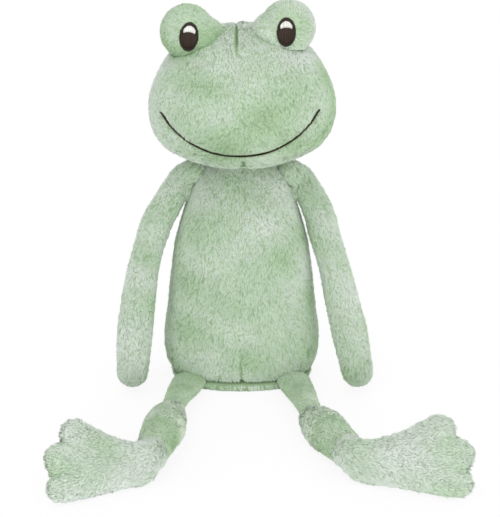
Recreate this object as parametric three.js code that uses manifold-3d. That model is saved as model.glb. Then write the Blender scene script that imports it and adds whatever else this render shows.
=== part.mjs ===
// A plush frog that sits on its base panel, legs forward and feet turned out.
// Sizes are in millimetres. X runs to the frog's left, -Y to its front and Z up.
// The origin lies on the floor under the middle of the seat.

import * as THREE from 'three';
import { mergeVertices } from 'three/addons/utils/BufferGeometryUtils.js';
import Module from 'manifold-3d';

const wasm = await Module();
wasm.setup();

const degrees = THREE.MathUtils.degToRad;
const point = (x, y, z) => new THREE.Vector3(x, y, z);

// Fabric, stuffing and the play between sewn pieces
const fabricThickness = 1.6;
const seamGap = 0.3;
const fillingGap = 0.5;
const patchThickness = 1.2;
const overrun = 6;

// Body
const bodyHeight = 134;
const bodyWidth = 97.4;
const bodyDepth = 78;
const bodyLean = degrees(6);
const bodySquareness = 2.35;
const panelHeight = 5;
const panelFootWidth = 82;
const panelFootDepth = 66;

// Pellet pouch in the seat
const pouchWidth = 62;
const pouchDepth = 46;
const pouchHeight = 20;

// Neck: a ball on top of the body that the head sits on
const neckRadius = 18;
const neckDrop = 3.5;
const neckRise = bodyHeight - neckDrop;

// Head
const headWidth = 113;
const headHeight = 90;
const headFront = 47;
const headBack = 43;
const headLift = 48.1;
const headRise = neckRise + headLift;
const headForward = 3;
const headSide = 0.5;
const headSquareness = 2.25;
const headTilt = degrees(-8);
const headRoll = degrees(-1);

// Eye mounds on the head, and the stitched eyes on them
const moundWidth = 33.4;
const moundDepth = 36;
const moundHeight = 33.6;
const rightMoundDrop = 6;
const leftMoundDrop = 4.2;
const moundForward = 15;
const rightMoundInset = 25.3;
const leftMoundInset = 28.7;
const eyeWidth = 11.6;
const eyeHeight = 17.2;
const eyeDrop = 2.4;
const eyeInward = 1.4;
const eyeLine = 1.3;
const pupilWidth = 7.4;
const pupilHeight = 10;
const pupilDrop = 2;
const threadThickness = 0.7;

// Mouth line
const mouthInset = 10.7;
const mouthSide = -1.1;
const mouthRise = -7;
const mouthDrop = 25.6;
const mouthThread = 1.2;

// Arms
const shoulderInset = 11.7;
const shoulderSide = bodyWidth / 2 - shoulderInset;
const shoulderDrop = 7;
const shoulderRise = neckRise - shoulderDrop;
const handRise = 12.5;
const armDrop = shoulderRise - handRise;
const armThickness = 22.4;
const shoulderRadius = 7.5;

// Legs
const hipInset = 17.7;
const hipSide = bodyWidth / 2 - hipInset;
const hipForward = 38;
const hipRise = 9.9;
const hipRadius = 9.2;
const thighLength = 56;
const thighThickness = 17.6;
const kneeRadius = 7.8;
const shinLength = 58.5;
const shinThickness = 24;

// Feet
const heelRadius = 10.6;
const leftFootLength = 79;
const rightFootLength = 71.5;
const footHeight = 45;
const footThickness = 17;
const footTilt = degrees(-15);
const soleForward = 8.45;
const heelSetback = 7;
const heelBelow = 15.2;

// Openings through which each skin is filled and sewn
const shoulderOpening = 4;
const hipOpening = 5;
const kneeOpening = 4;
const ankleOpening = 5;

const furGreen = { color: '#b4c8ae', roughness: 0.95, metalness: 0 };
const limbGreen = { color: '#a9c0a2', roughness: 0.95, metalness: 0 };
const seamGreen = { color: '#8fa988', roughness: 0.9, metalness: 0 };
const fillingWhite = { color: '#f1efe9', roughness: 1, metalness: 0 };
const pelletCream = { color: '#d8d2c2', roughness: 0.8, metalness: 0 };
const threadBrown = { color: '#44382f', roughness: 0.55, metalness: 0 };
const threadWhite = { color: '#e6e6e0', roughness: 0.55, metalness: 0 };

const frog = new THREE.Group();

// Turns points and faces into a solid whose faces point outward.
function solidFrom(positions, faces) {
  const corner = (face) => point().fromArray(positions, faces[face] * 3);
  let volume = 0;
  for (let face = 0; face < faces.length; face += 3) {
    volume += corner(face).dot(corner(face + 1).cross(corner(face + 2)));
  }
  const outward = volume > 0 ? faces : [...faces].reverse();
  const vertProperties = Float32Array.from(positions);
  const triVerts = Uint32Array.from(outward);
  return new wasm.Manifold(new wasm.Mesh({ numProp: 3, vertProperties, triVerts }));
}

function solidOf(geometry) {
  geometry.deleteAttribute('normal');
  geometry.deleteAttribute('uv');
  const merged = mergeVertices(geometry);
  return solidFrom(merged.attributes.position.array, merged.index.array);
}

// A closed skin over a row of rings, from one pole to the other.
function loft(startPole, rings, endPole) {
  const sides = rings[0].length;
  const last = rings.length - 1;
  const at = (ring, side) => 1 + ring * sides + (side % sides);
  const faces = [];
  for (let side = 0; side < sides; side++) {
    faces.push(0, at(0, side + 1), at(0, side));
    for (let ring = 0; ring < last; ring++) {
      faces.push(at(ring, side), at(ring, side + 1), at(ring + 1, side));
      faces.push(at(ring, side + 1), at(ring + 1, side + 1), at(ring + 1, side));
    }
    faces.push(at(last, side), at(last, side + 1), 1 + rings.length * sides);
  }
  const positions = [startPole, ...rings.flat(), endPole].flatMap((corner) => corner.toArray());
  return solidFrom(positions, faces);
}

// A level ring with rounded corners and its own front and back depth.
function levelRing(centre, halfWidth, front, back, squareness, sides) {
  const ring = [];
  const bulge = (share) => Math.sign(share) * Math.abs(share) ** (2 / squareness);
  for (let side = 0; side < sides; side++) {
    const angle = (side / sides) * 2 * Math.PI;
    const depth = Math.sin(angle) < 0 ? front : back;
    const x = centre.x + halfWidth * bulge(Math.cos(angle));
    ring.push(point(x, centre.y + depth * bulge(Math.sin(angle)), centre.z));
  }
  return ring;
}

// Reads a table of shares, in steps that rise in its first column, between its rows.
function readShares(table, column, place) {
  const above = Math.max(1, table.findIndex((row) => row[0] >= place));
  const upper = table[place > table.at(-1)[0] ? table.length - 1 : above];
  const lower = table[table.indexOf(upper) - 1];
  const part = THREE.MathUtils.clamp((place - lower[0]) / (upper[0] - lower[0]), 0, 1);
  return THREE.MathUtils.lerp(lower[column], upper[column], part);
}

function ball(centre, radius, sides) {
  const geometry = new THREE.SphereGeometry(radius, sides, Math.round(sides / 2));
  return solidOf(geometry.translate(centre.x, centre.y, centre.z));
}

// A round hollow. The middles of its flat facets, its nearest places, lie at this radius.
const hollowFacetShare = 0.98;

function hollow(centre, radius) {
  const geometry = new THREE.IcosahedronGeometry(radius / hollowFacetShare, 3);
  return solidOf(geometry.translate(centre.x, centre.y, centre.z));
}

// Round sections along a curve, with a dome at each end. Each piece is inset alike all over.
function limbForm(route, thicknessShares, thickness, inset, sides, steps) {
  const domeSteps = 3;
  const curve = new THREE.CatmullRomCurve3(route);
  const { normals, binormals, tangents } = curve.computeFrenetFrames(steps);
  const radiusAt = (share) => (thickness / 2) * readShares(thicknessShares, 1, share) - inset;
  const ringAt = (step, ahead, radius) => {
    const centre = curve.getPointAt(step / steps).addScaledVector(tangents[step], ahead);
    return Array.from({ length: sides }, (_, side) => {
      const angle = (side / sides) * 2 * Math.PI;
      return centre.clone()
        .addScaledVector(normals[step], radius * Math.cos(angle))
        .addScaledVector(binormals[step], radius * Math.sin(angle));
    });
  };
  const dome = (step, forward) => {
    const radius = radiusAt(step / steps);
    const rings = [];
    for (let ring = 1; ring < domeSteps; ring++) {
      const angle = (ring / domeSteps) * (Math.PI / 2);
      rings.push(ringAt(step, forward * radius * Math.sin(angle), radius * Math.cos(angle)));
    }
    return rings;
  };
  const pole = (step, forward) =>
    curve.getPointAt(step / steps).addScaledVector(tangents[step], forward * radiusAt(step / steps));
  const body = Array.from({ length: steps + 1 }, (_, step) => ringAt(step, 0, radiusAt(step / steps)));
  const rings = [...dome(0, -1).reverse(), ...body, ...dome(steps, 1)];
  return loft(pole(0, -1), rings, pole(steps, 1));
}

const evenShares = [[0, 1], [1, 1]];

// The round hole in a skin at its seam, from inside the skin to past its wall.
function seamOpening(centre, direction, radius, reach) {
  const end = centre.clone().addScaledVector(direction, reach);
  return limbForm([centre, end], evenShares, radius * 2, 0, 10, 1);
}

// A round patch of gathered seam round a ball, from which the middles of its facets stay clear.
const patchFacetShare = 0.975;
const patchInside = (ballRadius) => (ballRadius + seamGap) / patchFacetShare;

function seamPatch(centre, direction, ballRadius, halfAngle) {
  const profile = [];
  const arcSteps = 4;
  const inner = patchInside(ballRadius);
  for (let step = 0; step <= arcSteps; step++) {
    const angle = halfAngle * (step / arcSteps);
    profile.push(new THREE.Vector2(inner * Math.sin(angle), inner * Math.cos(angle)));
  }
  const outer = inner + patchThickness;
  for (let step = arcSteps; step >= 0; step--) {
    const angle = halfAngle * (step / arcSteps);
    profile.push(new THREE.Vector2(outer * Math.sin(angle), outer * Math.cos(angle)));
  }
  const turn = new THREE.Quaternion().setFromUnitVectors(point(0, 1, 0), direction);
  const geometry = new THREE.LatheGeometry(profile, 16);
  return solidOf(geometry.applyQuaternion(turn).translate(centre.x, centre.y, centre.z));
}

function addPiece(name, solid, finish, parent = frog) {
  const { vertProperties, triVerts } = solid.getMesh();
  const geometry = new THREE.BufferGeometry();
  geometry.setAttribute('position', new THREE.BufferAttribute(vertProperties, 3));
  geometry.setIndex(new THREE.BufferAttribute(triVerts, 1));
  geometry.computeVertexNormals();
  const mesh = new THREE.Mesh(geometry, new THREE.MeshStandardMaterial(finish));
  mesh.name = name;
  parent.add(mesh);
}

// Joint centres
const neck = point(0, neckRise * Math.tan(bodyLean), neckRise);
const sideNames = [['left', 1], ['right', -1]];
const shoulders = sideNames.map(([, side]) =>
  point(side * shoulderSide, shoulderRise * Math.tan(bodyLean), shoulderRise));
const hips = sideNames.map(([, side]) => point(side * hipSide, -hipForward, hipRise));

const socketRadius = (ballRadius) => patchInside(ballRadius) + patchThickness + seamGap;

// Body: height, half width and half depth at each row
const bodyShares = [
  [0.04, 0.885, 0.9],
  [0.075, 0.96, 0.965],
  [0.14, 1, 1],
  [0.22, 0.998, 1],
  [0.335, 0.95, 0.97],
  [0.455, 0.918, 0.935],
  [0.565, 0.88, 0.895],
  [0.64, 0.848, 0.86],
  [0.7, 0.8, 0.82],
  [0.775, 0.74, 0.77],
  [0.86, 0.655, 0.69],
  [0.93, 0.575, 0.61],
  [0.97, 0.5, 0.54],
  [1, 0.4, 0.44],
];
const coarseBodyShares = bodyShares.filter((_, row) => row % 2 === 0);

const bodyCentre = (z) => point(0, z * Math.tan(bodyLean), z);

function bodyForm(rows, inset, lowest, sides) {
  const bottom = panelHeight + seamGap;
  const heightAt = (share) => Math.min(bodyHeight * share, bodyHeight - inset);
  const rings = rows.map(([share, width, depth], row) => {
    const z = row === 0 ? lowest : Math.max(heightAt(share), bottom + row * seamGap);
    const halfDepth = (bodyDepth / 2) * depth - inset;
    return levelRing(bodyCentre(z), (bodyWidth / 2) * width - inset, halfDepth, halfDepth, bodySquareness, sides);
  });
  return loft(bodyCentre(lowest), rings, bodyCentre(bodyHeight - inset).add(point(0, 0, seamGap)));
}

function cutSockets(solid, clearance) {
  let cut = solid;
  for (const shoulder of shoulders) {
    cut = cut.subtract(hollow(shoulder, socketRadius(shoulderRadius) + clearance));
  }
  for (const hip of hips) {
    cut = cut.subtract(hollow(hip, socketRadius(hipRadius) + clearance));
  }
  return cut;
}

const seamHeight = panelHeight + seamGap;
const bodyOutside = bodyForm(bodyShares, 0, seamHeight, 24).add(ball(neck, neckRadius, 18));
const bodyInside = bodyForm(coarseBodyShares, fabricThickness, seamHeight - overrun, 12);
addPiece('body_skin', cutSockets(bodyOutside.subtract(bodyInside), 0), furGreen);

// Base panel: an oval dish of fabric that closes the body below and rests on the floor
function panelForm() {
  const topWidth = (bodyWidth / 2) * bodyShares[0][1];
  const topDepth = (bodyDepth / 2) * bodyShares[0][2];
  const waist = panelHeight / 2;
  const bottom = levelRing(point(0, 0, 0), panelFootWidth / 2, panelFootDepth / 2, panelFootDepth / 2, bodySquareness, 24);
  const middle = levelRing(bodyCentre(waist), topWidth, topDepth, topDepth, bodySquareness, 24);
  const top = levelRing(bodyCentre(panelHeight), topWidth, topDepth, topDepth, bodySquareness, 24);
  return loft(point(0, 0, 0), [bottom, middle, top], bodyCentre(panelHeight));
}
addPiece('base_panel', cutSockets(panelForm(), 0), furGreen);

// Pellet pouch: a flat bag of granules that keeps the frog sitting
function pouchForm(extra) {
  const geometry = new THREE.SphereGeometry(1, 14, 8);
  geometry.scale(pouchWidth / 2 + extra, pouchDepth / 2 + extra, pouchHeight / 2 + extra);
  const middle = seamHeight + pouchHeight / 2;
  return solidOf(geometry.translate(0, middle * Math.tan(bodyLean), middle));
}
addPiece('pellet_pouch', pouchForm(0), pelletCream);

const bodyStuffing = bodyForm(coarseBodyShares, fabricThickness + fillingGap, seamHeight, 12);
addPiece('body_filling', cutSockets(bodyStuffing, seamGap).subtract(pouchForm(seamGap)), fillingWhite);

// Neck seam: the round patch where the head is sewn to the body
const neckPatchAngle = degrees(50);
addPiece('neck_seam', seamPatch(neck, point(0, 0, 1), neckRadius, neckPatchAngle), seamGreen);

// Head: height from -1 at the chin to 1 at the crown, half width, front and back depth
const headShares = [
  [-0.95, 0.36, 0.36, 0.38],
  [-0.84, 0.62, 0.61, 0.59],
  [-0.7, 0.825, 0.8, 0.75],
  [-0.5, 0.95, 0.94, 0.89],
  [-0.28, 1, 0.995, 0.97],
  [-0.05, 1, 0.99, 1],
  [0.15, 0.965, 0.95, 0.99],
  [0.36, 0.89, 0.88, 0.94],
  [0.52, 0.815, 0.8, 0.86],
  [0.68, 0.71, 0.69, 0.74],
  [0.82, 0.57, 0.54, 0.58],
  [0.93, 0.37, 0.35, 0.38],
];
const coarseHeadShares = headShares.filter((_, row) => row % 2 === 1);

const headCentre = point(headSide, -headForward, headRise);
const headTurn = new THREE.Euler(headTilt, headRoll, 0);
const headGroup = new THREE.Group();
headGroup.position.copy(headCentre);
headGroup.rotation.copy(headTurn);
frog.add(headGroup);
headGroup.updateMatrixWorld(true);
const neckInHead = headGroup.worldToLocal(neck.clone());

function headForm(rows, extra, sides) {
  const half = headHeight / 2 + extra;
  const rings = rows.map(([share, width, front, back]) => {
    const centre = point(0, 0, half * share);
    const halfWidth = (headWidth / 2) * width + extra;
    return levelRing(centre, halfWidth, headFront * front + extra, headBack * back + extra, headSquareness, sides);
  });
  return loft(point(0, 0, -half), rings, point(0, 0, half));
}

const headSocket = socketRadius(neckRadius);
const headOutside = headForm(headShares, 0, 26);
const headSkin = headOutside
  .subtract(headForm(coarseHeadShares, -fabricThickness, 14))
  .subtract(hollow(neckInHead, headSocket));
addPiece('head_skin', headSkin, furGreen, headGroup);
const headStuffing = headForm(coarseHeadShares, -fabricThickness - fillingGap, 14)
  .subtract(hollow(neckInHead, headSocket + seamGap));
addPiece('head_filling', headStuffing, fillingWhite, headGroup);

// Eye mounds: balls of fabric sewn on the head's upper corners
function moundForm(centre, extra, sides) {
  const geometry = new THREE.SphereGeometry(1, sides, Math.round(sides / 2));
  geometry.scale(moundWidth / 2 + extra, moundDepth / 2 + extra, moundHeight / 2 + extra);
  return solidOf(geometry.translate(centre.x, centre.y, centre.z));
}

// An upright oval bar that runs forward from a mound's middle and cuts one stitched shape
function ovalBar(centre, width, height) {
  const oval = new THREE.Shape().absellipse(0, 0, width / 2, height / 2, 0, 2 * Math.PI);
  const geometry = new THREE.ExtrudeGeometry(oval, { depth: moundDepth, bevelEnabled: false, curveSegments: 5 });
  geometry.rotateX(Math.PI / 2);
  return solidOf(geometry.translate(centre.x, centre.y, centre.z));
}

const moundPlaces = {
  left: [headWidth / 2 - leftMoundInset, headHeight / 2 - leftMoundDrop],
  right: [rightMoundInset - headWidth / 2, headHeight / 2 - rightMoundDrop],
};
const headRoom = headForm(headShares, seamGap, 26);
for (const [name, side] of sideNames) {
  const [across, rise] = moundPlaces[name];
  const centre = point(across, -moundForward, rise);
  const skin = moundForm(centre, 0, 18).subtract(moundForm(centre, -fabricThickness, 10)).subtract(headRoom);
  addPiece(`eye_mound_${name}`, skin, furGreen, headGroup);
  const stuffing = moundForm(centre, -fabricThickness - fillingGap, 10).subtract(headRoom);
  addPiece(`eye_mound_filling_${name}`, stuffing, fillingWhite, headGroup);

  const threads = moundForm(centre, seamGap + threadThickness, 18).subtract(moundForm(centre, seamGap, 18));
  const eye = centre.clone().add(point(-side * eyeInward, 0, -eyeDrop));
  const pupil = eye.clone().add(point(0, 0, -pupilDrop));
  const insideLine = ovalBar(eye, eyeWidth - 2 * eyeLine, eyeHeight - 2 * eyeLine);
  const whiteEdge = 2 * (eyeLine + seamGap);
  const whiteRoom = ovalBar(eye, eyeWidth - whiteEdge, eyeHeight - whiteEdge);
  const pupilRoom = ovalBar(pupil, pupilWidth + 2 * seamGap, pupilHeight + 2 * seamGap);
  const outline = threads.intersect(ovalBar(eye, eyeWidth, eyeHeight)).subtract(insideLine);
  addPiece(`eye_outline_${name}`, outline, threadBrown, headGroup);
  addPiece(`eye_white_${name}`, threads.intersect(whiteRoom).subtract(pupilRoom), threadWhite, headGroup);
  addPiece(`eye_pupil_${name}`, threads.intersect(ovalBar(pupil, pupilWidth, pupilHeight)), threadBrown, headGroup);
}

// Mouth: one line of satin stitch round the front of the head
const mouthHalfWidth = headWidth / 2 - mouthInset;
const mouthShares = [
  [-1, 0], [-0.86, -0.34], [-0.63, -0.68], [-0.34, -0.92], [0, -1],
  [0.34, -0.92], [0.63, -0.68], [0.86, -0.34], [1, 0],
];

function onHead(x, z, lift) {
  const share = z / (headHeight / 2);
  const halfWidth = (headWidth / 2) * readShares(headShares, 1, share) + lift;
  const front = headFront * readShares(headShares, 2, share) + lift;
  const across = Math.min(1, Math.abs(x) / halfWidth);
  return point(x, -front * (1 - across ** headSquareness) ** (1 / headSquareness), z);
}

function mouthForm() {
  const lift = seamGap + mouthThread;
  const route = mouthShares.map(([across, down]) =>
    onHead(mouthSide + mouthHalfWidth * across, mouthRise + mouthDrop * down, lift));
  const path = new THREE.CatmullRomCurve3(route);
  const section = new THREE.Shape().absarc(0, 0, mouthThread / 2, 0, 2 * Math.PI);
  const geometry = new THREE.ExtrudeGeometry(section, { extrudePath: path, steps: 24, curveSegments: 2 });
  return solidOf(geometry);
}
addPiece('mouth_stitching', mouthForm(), threadBrown, headGroup);

// Arms: outward, forward and downward shares of the drop from shoulder to hand
const armRouteShares = {
  left: [[0, 0, 0], [0.068, 0.047, 0.122], [0.103, 0.081, 0.2], [0.128, 0.119, 0.295],
    [0.182, 0.184, 0.462], [0.223, 0.25, 0.631], [0.265, 0.316, 0.798], [0.308, 0.393, 1]],
  right: [[0, 0, 0], [0.071, 0.047, 0.122], [0.119, 0.081, 0.2], [0.16, 0.114, 0.296],
    [0.209, 0.183, 0.463], [0.237, 0.249, 0.632], [0.256, 0.316, 0.798], [0.269, 0.393, 1]],
};
const armThicknessShares = [
  [0, 0.64], [0.07, 0.72], [0.14, 0.83], [0.22, 0.86], [0.3, 0.87], [0.43, 0.84], [0.61, 0.93], [0.8, 1], [1, 0.88],
];
const shoulderPatchAngle = degrees(48);

function armForm(name, side, shoulder, inset, sides, steps) {
  const route = armRouteShares[name].map(([out, forward, down]) =>
    shoulder.clone().add(point(side * armDrop * out, -armDrop * forward, -armDrop * down)));
  return limbForm(route, armThicknessShares, armThickness, inset, sides, steps);
}

for (const [index, [name, side]] of sideNames.entries()) {
  const shoulder = shoulders[index];
  const inward = point(-side, 0, 0);
  const opening = seamOpening(shoulder, inward, shoulderOpening, shoulderRadius);
  const skin = armForm(name, side, shoulder, 0, 12, 11)
    .subtract(armForm(name, side, shoulder, fabricThickness, 7, 6))
    .subtract(opening);
  addPiece(`arm_skin_${name}`, skin, furGreen);
  addPiece(`arm_filling_${name}`, armForm(name, side, shoulder, fabricThickness + fillingGap, 7, 6), fillingWhite);
  const patch = seamPatch(shoulder, inward, shoulderRadius, shoulderPatchAngle);
  addPiece(`shoulder_seam_${name}`, patch, seamGreen);
}

// Legs: each turns outward from straight ahead and rises from level, thigh and shin apart
const thighTurn = { left: degrees(10), right: degrees(8.8) };
const thighRise = { left: degrees(-1.3), right: degrees(2.35) };
const shinTurn = { left: degrees(18.8), right: degrees(9) };
const shinRise = { left: degrees(3.93), right: degrees(0.37) };
const footTurn = { left: degrees(21), right: degrees(27.5) };
const footLengths = { left: leftFootLength, right: rightFootLength };
const thighThicknessShares = [[0, 1.045], [0.3, 1], [0.7, 0.9], [1, 0.78]];
const shinThicknessShares = [[0, 0.62], [0.12, 0.75], [0.25, 0.94], [0.4, 1], [0.6, 0.95], [0.8, 0.87], [1, 0.78]];
const hipPatchAngle = degrees(40);

function limbGroup(centre, turn, rise) {
  const group = new THREE.Group();
  group.position.copy(centre);
  group.rotation.set(-rise, 0, turn, 'ZXY');
  frog.add(group);
  group.updateMatrixWorld(true);
  return group;
}

const legStart = point(0, 0, 0);
const alongLeg = (length) => point(0, -length, 0);
const backward = point(0, 1, 0);

// One leg segment: skin and filling, cut round by the ball of the next segment
function legSegment(prefix, name, group, shape) {
  const { length, shares, thickness, radius, opening, nextRadius, sides, steps } = shape;
  const route = [legStart, alongLeg(length)];
  const form = (inset, around, along) => limbForm(route, shares, thickness, inset, around, along);
  const next = (clearance) => hollow(alongLeg(length), nextRadius + seamGap + clearance);
  const hole = seamOpening(legStart, backward, opening, radius);
  const skin = form(0, sides, steps).subtract(form(fabricThickness, 7, 3)).subtract(hole).subtract(next(0));
  addPiece(`${prefix}_skin_${name}`, skin, limbGreen, group);
  const stuffing = form(fabricThickness + fillingGap, 7, 3).subtract(next(seamGap));
  addPiece(`${prefix}_filling_${name}`, stuffing, fillingWhite, group);
}

// Foot outline from the heel forward: length share from the back of the heel, height share
const footOutlineShares = [
  [0.02, 0.42], [0.04, 0.22], [0.1, 0.08], [0.2, 0], [0.34, 0], [0.5, 0], [0.66, 0], [0.82, 0],
  [0.93, 0.02], [0.985, 0.11], [1, 0.24], [0.972, 0.36], [0.985, 0.5], [0.985, 0.62], [0.945, 0.71],
  [0.86, 0.78], [0.835, 0.9], [0.77, 0.99], [0.67, 0.995], [0.59, 0.9], [0.5, 0.79], [0.39, 0.68],
  [0.26, 0.59], [0.12, 0.56], [0.04, 0.52],
];
const footPuffShares = [[0, 0.9], [0.3, 0.86], [0.55, 0.82], [0.8, 1], [1, 0.95]];
const footRingShares = [[0.4, 0.93], [0.75, 0.7], [0.94, 0.36], [1, 0]];
const footMiddleShares = [0.55, 0.42];

// A pillow between two foot shaped panels, in front of the ankle
function footForm(side, footLength, inset, outlineStep, ringStep) {
  const outline = footOutlineShares.filter((_, row) => row % outlineStep === 0);
  const rows = footRingShares.filter((_, row) => (footRingShares.length - 1 - row) % ringStep === 0);
  const [middleU, middleW] = [footMiddleShares[0] * footLength, footMiddleShares[1] * footHeight];
  const place = (u, w, n) => point(side * (u - heelSetback), -(soleForward + n), w - heelBelow);
  const ringAt = ([share, puff], front) => outline.map(([along, up]) => {
    const reach = point(along * footLength - middleU, up * footHeight - middleW, 0);
    reach.setLength((reach.length() - inset) * share);
    const thickness = (footThickness / 2 - inset) * puff * readShares(footPuffShares, 1, along);
    return place(middleU + reach.x, middleW + reach.y, front * thickness);
  });
  const back = rows.map((row) => ringAt(row, -1));
  const front = rows.slice(0, -1).reverse().map((row) => ringAt(row, 1));
  const pole = (sign) => place(middleU, middleW, sign * (footThickness / 2 - inset));
  return loft(pole(-1), [...back, ...front], pole(1));
}

for (const [index, [name, side]] of sideNames.entries()) {
  const hip = hips[index];
  const thigh = limbGroup(hip, side * thighTurn[name], thighRise[name]);
  const knee = thigh.localToWorld(alongLeg(thighLength));
  const shin = limbGroup(knee, side * shinTurn[name], shinRise[name]);
  const ankle = shin.localToWorld(alongLeg(shinLength));
  addPiece(`hip_seam_${name}`, seamPatch(hip, backward, hipRadius, hipPatchAngle), seamGreen);
  legSegment('thigh', name, thigh, {
    length: thighLength, shares: thighThicknessShares, thickness: thighThickness, radius: hipRadius,
    opening: hipOpening, nextRadius: kneeRadius, sides: 12, steps: 5,
  });
  legSegment('shin', name, shin, {
    length: shinLength, shares: shinThicknessShares, thickness: shinThickness, radius: kneeRadius,
    opening: kneeOpening, nextRadius: heelRadius, sides: 12, steps: 7,
  });

  const foot = limbGroup(ankle, 0, 0);
  foot.rotation.set(footTilt, 0, -side * footTurn[name], 'ZXY');
  const heel = (inset, sides) => ball(legStart, heelRadius - inset, sides);
  const opening = seamOpening(legStart, backward, ankleOpening, heelRadius);
  const length = footLengths[name];
  const outside = footForm(side, length, 0, 1, 1).add(heel(0, 14));
  const inside = (inset) => footForm(side, length, inset, 2, 2).add(heel(inset, 8));
  addPiece(`foot_skin_${name}`, outside.subtract(inside(fabricThickness)).subtract(opening), limbGreen, foot);
  addPiece(`foot_filling_${name}`, inside(fabricThickness + fillingGap), fillingWhite, foot);
}

export default frog;
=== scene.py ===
import math

import bpy
import numpy as np
from mathutils import Matrix, Vector, kdtree
from mathutils.bvhtree import BVHTree


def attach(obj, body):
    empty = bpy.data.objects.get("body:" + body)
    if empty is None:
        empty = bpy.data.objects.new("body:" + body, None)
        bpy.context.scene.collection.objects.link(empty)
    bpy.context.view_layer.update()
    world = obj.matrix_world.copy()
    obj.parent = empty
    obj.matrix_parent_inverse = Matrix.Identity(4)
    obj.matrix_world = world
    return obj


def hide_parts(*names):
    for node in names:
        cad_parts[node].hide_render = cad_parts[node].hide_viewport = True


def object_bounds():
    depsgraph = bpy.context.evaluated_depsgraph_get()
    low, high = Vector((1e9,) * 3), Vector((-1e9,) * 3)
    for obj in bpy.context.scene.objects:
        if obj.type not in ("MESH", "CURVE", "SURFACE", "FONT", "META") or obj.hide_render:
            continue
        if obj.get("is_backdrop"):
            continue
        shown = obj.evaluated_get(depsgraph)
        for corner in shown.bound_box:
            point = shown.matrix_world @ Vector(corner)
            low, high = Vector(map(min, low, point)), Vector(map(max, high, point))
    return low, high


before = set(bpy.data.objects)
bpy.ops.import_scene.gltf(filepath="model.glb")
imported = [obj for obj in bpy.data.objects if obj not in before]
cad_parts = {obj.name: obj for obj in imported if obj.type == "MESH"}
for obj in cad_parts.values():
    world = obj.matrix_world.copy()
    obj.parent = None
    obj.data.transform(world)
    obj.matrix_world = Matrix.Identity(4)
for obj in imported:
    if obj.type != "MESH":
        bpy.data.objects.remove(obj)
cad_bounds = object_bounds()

# The stage: a plain pale floor under the frog, soft lamps, and the camera at the photograph's angle.
# The camera stands a little above the frog and looks down at it. Lengths are in millimetres until
# a mesh is made, and then in metres.
mm = 0.001


def linear(*screen):
    """A colour of red, green and blue as a screen shows it, as the light that it stands for."""
    shares = [c / 255 for c in screen]
    return tuple(c / 12.92 if c <= 0.04045 else ((c + 0.055) / 1.055) ** 2.4 for c in shares) + (1.0,)


def plug(tree, socket, source):
    """Links a worked out value to a socket, or writes a plain one on it."""
    if isinstance(source, Value):
        tree.links.new(source.socket, socket)
    else:
        socket.default_value = source


class Value:
    """A number or a colour that a material's nodes work out."""

    def __init__(self, tree, socket):
        self.tree = tree
        self.socket = socket

    def node(self, kind, settings=None, output=0, **inputs):
        made = self.tree.nodes.new(kind)
        for name, setting in (settings or {}).items():
            if name == "stops":
                for stop, (place, colour) in zip(stops_of(made.color_ramp, len(setting)), setting):
                    stop.position = place
                    stop.color = colour
            else:
                setattr(made, name, setting)
        for name, source in inputs.items():
            plug(self.tree, made.inputs[int(name[1:]) if name[0] == "_" else name.replace("_", " ")], source)
        return Value(self.tree, made.outputs[output])

    def maths(self, operation, first, second):
        return self.node("ShaderNodeMath", {"operation": operation}, _0=first, _1=second)

    def __add__(self, other):
        return self.maths("ADD", self, other)

    def __radd__(self, other):
        return self.maths("ADD", other, self)

    def __sub__(self, other):
        return self.maths("SUBTRACT", self, other)

    def __rsub__(self, other):
        return self.maths("SUBTRACT", other, self)

    def __mul__(self, other):
        return self.maths("MULTIPLY", self, other)

    def __rmul__(self, other):
        return self.maths("MULTIPLY", other, self)

    def clamped(self):
        return self.maths("MINIMUM", self.maths("MAXIMUM", self, 0.0), 1.0)

    def blend(self, first, second):
        """A colour from first to second, by this value."""
        return self.node("ShaderNodeMix", {"data_type": "RGBA"}, output=2, _0=self, _6=first, _7=second)


def stops_of(ramp, count):
    """A colour ramp's stops, made up to count."""
    while len(ramp.elements) < count:
        ramp.elements.new(0.5)
    return ramp.elements


def new_material(name):
    """A material with its shader's own node, and a value to start its sums from."""
    material = bpy.data.materials.new(name)
    material.use_nodes = True
    shader = material.node_tree.nodes["Principled BSDF"]
    return material, shader, Value(material.node_tree, None)


def feed(shader, **sources):
    """Plugs each source into the shader's socket of the same name."""
    for name, source in sources.items():
        plug(shader.id_data, shader.inputs[name.replace("_", " ")], source)


scene = bpy.context.scene
scene.view_settings.view_transform = "Standard"


def new_object(name, data):
    made = bpy.data.objects.new(name, data)
    scene.collection.objects.link(made)
    return made


def mesh_object(name, points, faces):
    mesh = bpy.data.meshes.new(name)
    mesh.from_pydata(np.asarray(points, float).tolist(), [], faces)
    return new_object(name, mesh)


sensor_width, photo_width, focal_pixels = 36, 500, 1612.9
camera_data = bpy.data.cameras.new("camera")
camera = new_object("camera", camera_data)
camera_data.sensor_fit = "HORIZONTAL"
camera_data.sensor_width = sensor_width
camera_data.lens = sensor_width * focal_pixels / photo_width
camera_data.clip_end = 20
camera_rise = math.radians(18)
camera_aim = Vector((5.3, 0, 75)) * mm
camera.location = camera_aim + Vector((0, -math.cos(camera_rise), math.sin(camera_rise)))
camera.rotation_euler = (math.pi / 2 - camera_rise, 0, 0)
scene.camera = camera

lamp_aim = Vector((0, 0, 0.1))
for name, place, size, watts in (
    ("top lamp", (-0.35, -0.8, 1.4), 0.9, 3.0),
    ("front lamp", (0.3, -1.5, 0.12), 1.0, 11.2),
    ("back lamp", (0.3, 1.2, 1.0), 1.2, 5),
):
    lamp = new_object(name, bpy.data.lights.new(name, "AREA"))
    lamp.data.shape = "DISK"
    lamp.data.size = size
    lamp.data.energy = watts
    lamp.location = place
    lamp.rotation_euler = (lamp_aim - lamp.location).to_track_quat("-Z", "Y").to_euler()

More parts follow.
